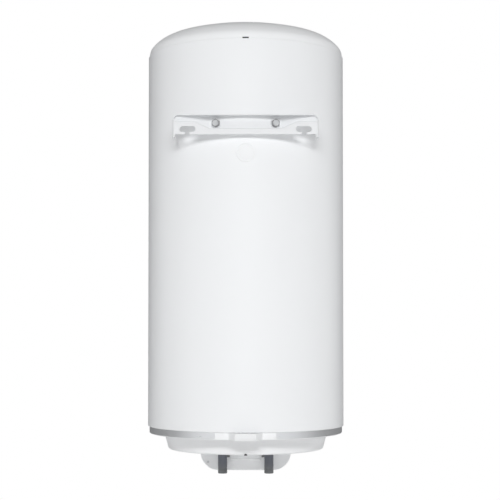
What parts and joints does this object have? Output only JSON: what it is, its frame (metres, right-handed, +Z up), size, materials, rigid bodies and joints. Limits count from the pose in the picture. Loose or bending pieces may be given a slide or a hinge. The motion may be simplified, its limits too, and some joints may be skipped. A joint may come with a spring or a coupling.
{
  "type": "tank water heater",
  "caption": "Upright wall-hung electric storage water heater with a steel casing, domed cap, slotted wall bracket, pipe stubs below and a control cover.",
  "frame": {"origin": "on the wall plane, midway between the centres of the bracket's two hanging slots", "axes": "+Y points into the wall, +Z is up, and the control cover and knob face -Y"},
  "size_m": [0.4329, 0.451, 0.9822],
  "materials": {
    "amber_lens": "gloss",
    "black_rubber": "matte",
    "brass": "satin",
    "dark_plastic": "satin",
    "element_copper": "satin",
    "enamelled_steel": "gloss",
    "foam": "matte",
    "grey_plastic": "satin",
    "ivory_plastic": "satin",
    "magnesium": "matte",
    "pipe_coating": "satin",
    "plug_plastic": "satin",
    "red_plastic": "gloss",
    "trim_metal": "satin",
    "white_enamel": "gloss",
    "white_plastic": "satin",
    "zinc_steel": "satin"
  },
  "bodies": {
    "heater": {"outer_casing": "white_enamel", "top_cap": "white_plastic", "base_cap": "white_plastic", "trim_band": "trim_metal", "foam_insulation": "foam", "foam_plug": "plug_plastic", "wall_bracket": "white_enamel", "bracket_washers": "zinc_steel", "bracket_bolts": "zinc_steel", "inner_tank": "enamelled_steel", "tank_bosses": "zinc_steel", "flange_neck": "enamelled_steel", "flange_gasket": "black_rubber", "flange_plate": "zinc_steel", "flange_washers": "zinc_steel", "flange_bolts": "zinc_steel", "heating_element": "element_copper", "thermostat_pocket": "brass", "sensor_bulb": "brass", "capillary_tube": "brass", "anode_rod": "magnesium", "anode_stud": "zinc_steel", "cold_inlet_pipe": "pipe_coating", "inlet_diffuser": "ivory_plastic", "hot_outlet_pipe": "pipe_coating", "pipe_seals": "black_rubber", "control_cover": "white_plastic", "cover_screws": "dark_plastic", "component_carrier": "zinc_steel", "thermostat_body": "ivory_plastic", "pilot_lamp": "amber_lens", "lamp_holder": "dark_plastic", "safety_cutout": "dark_plastic", "terminal_block": "ivory_plastic", "terminal_screws": "brass", "earth_stud": "brass"},
    "knob": {"temperature_knob": "grey_plastic", "thermostat_spindle": "ivory_plastic"},
    "reset": {"reset_button": "red_plastic"}
  },
  "joints": [
    {"name": "knob_turn", "type": "hinge", "parent": "heater", "child": "knob", "pos_m": [0, -0.3545, -0.6964], "axis": [0, 1, 0], "range_deg": [0, 270]},
    {"name": "reset_press", "type": "slide", "parent": "heater", "child": "reset", "axis": [0, 0, 1], "range_m": [0, 0.002], "stiffness_N_per_m": 400}
  ]
}
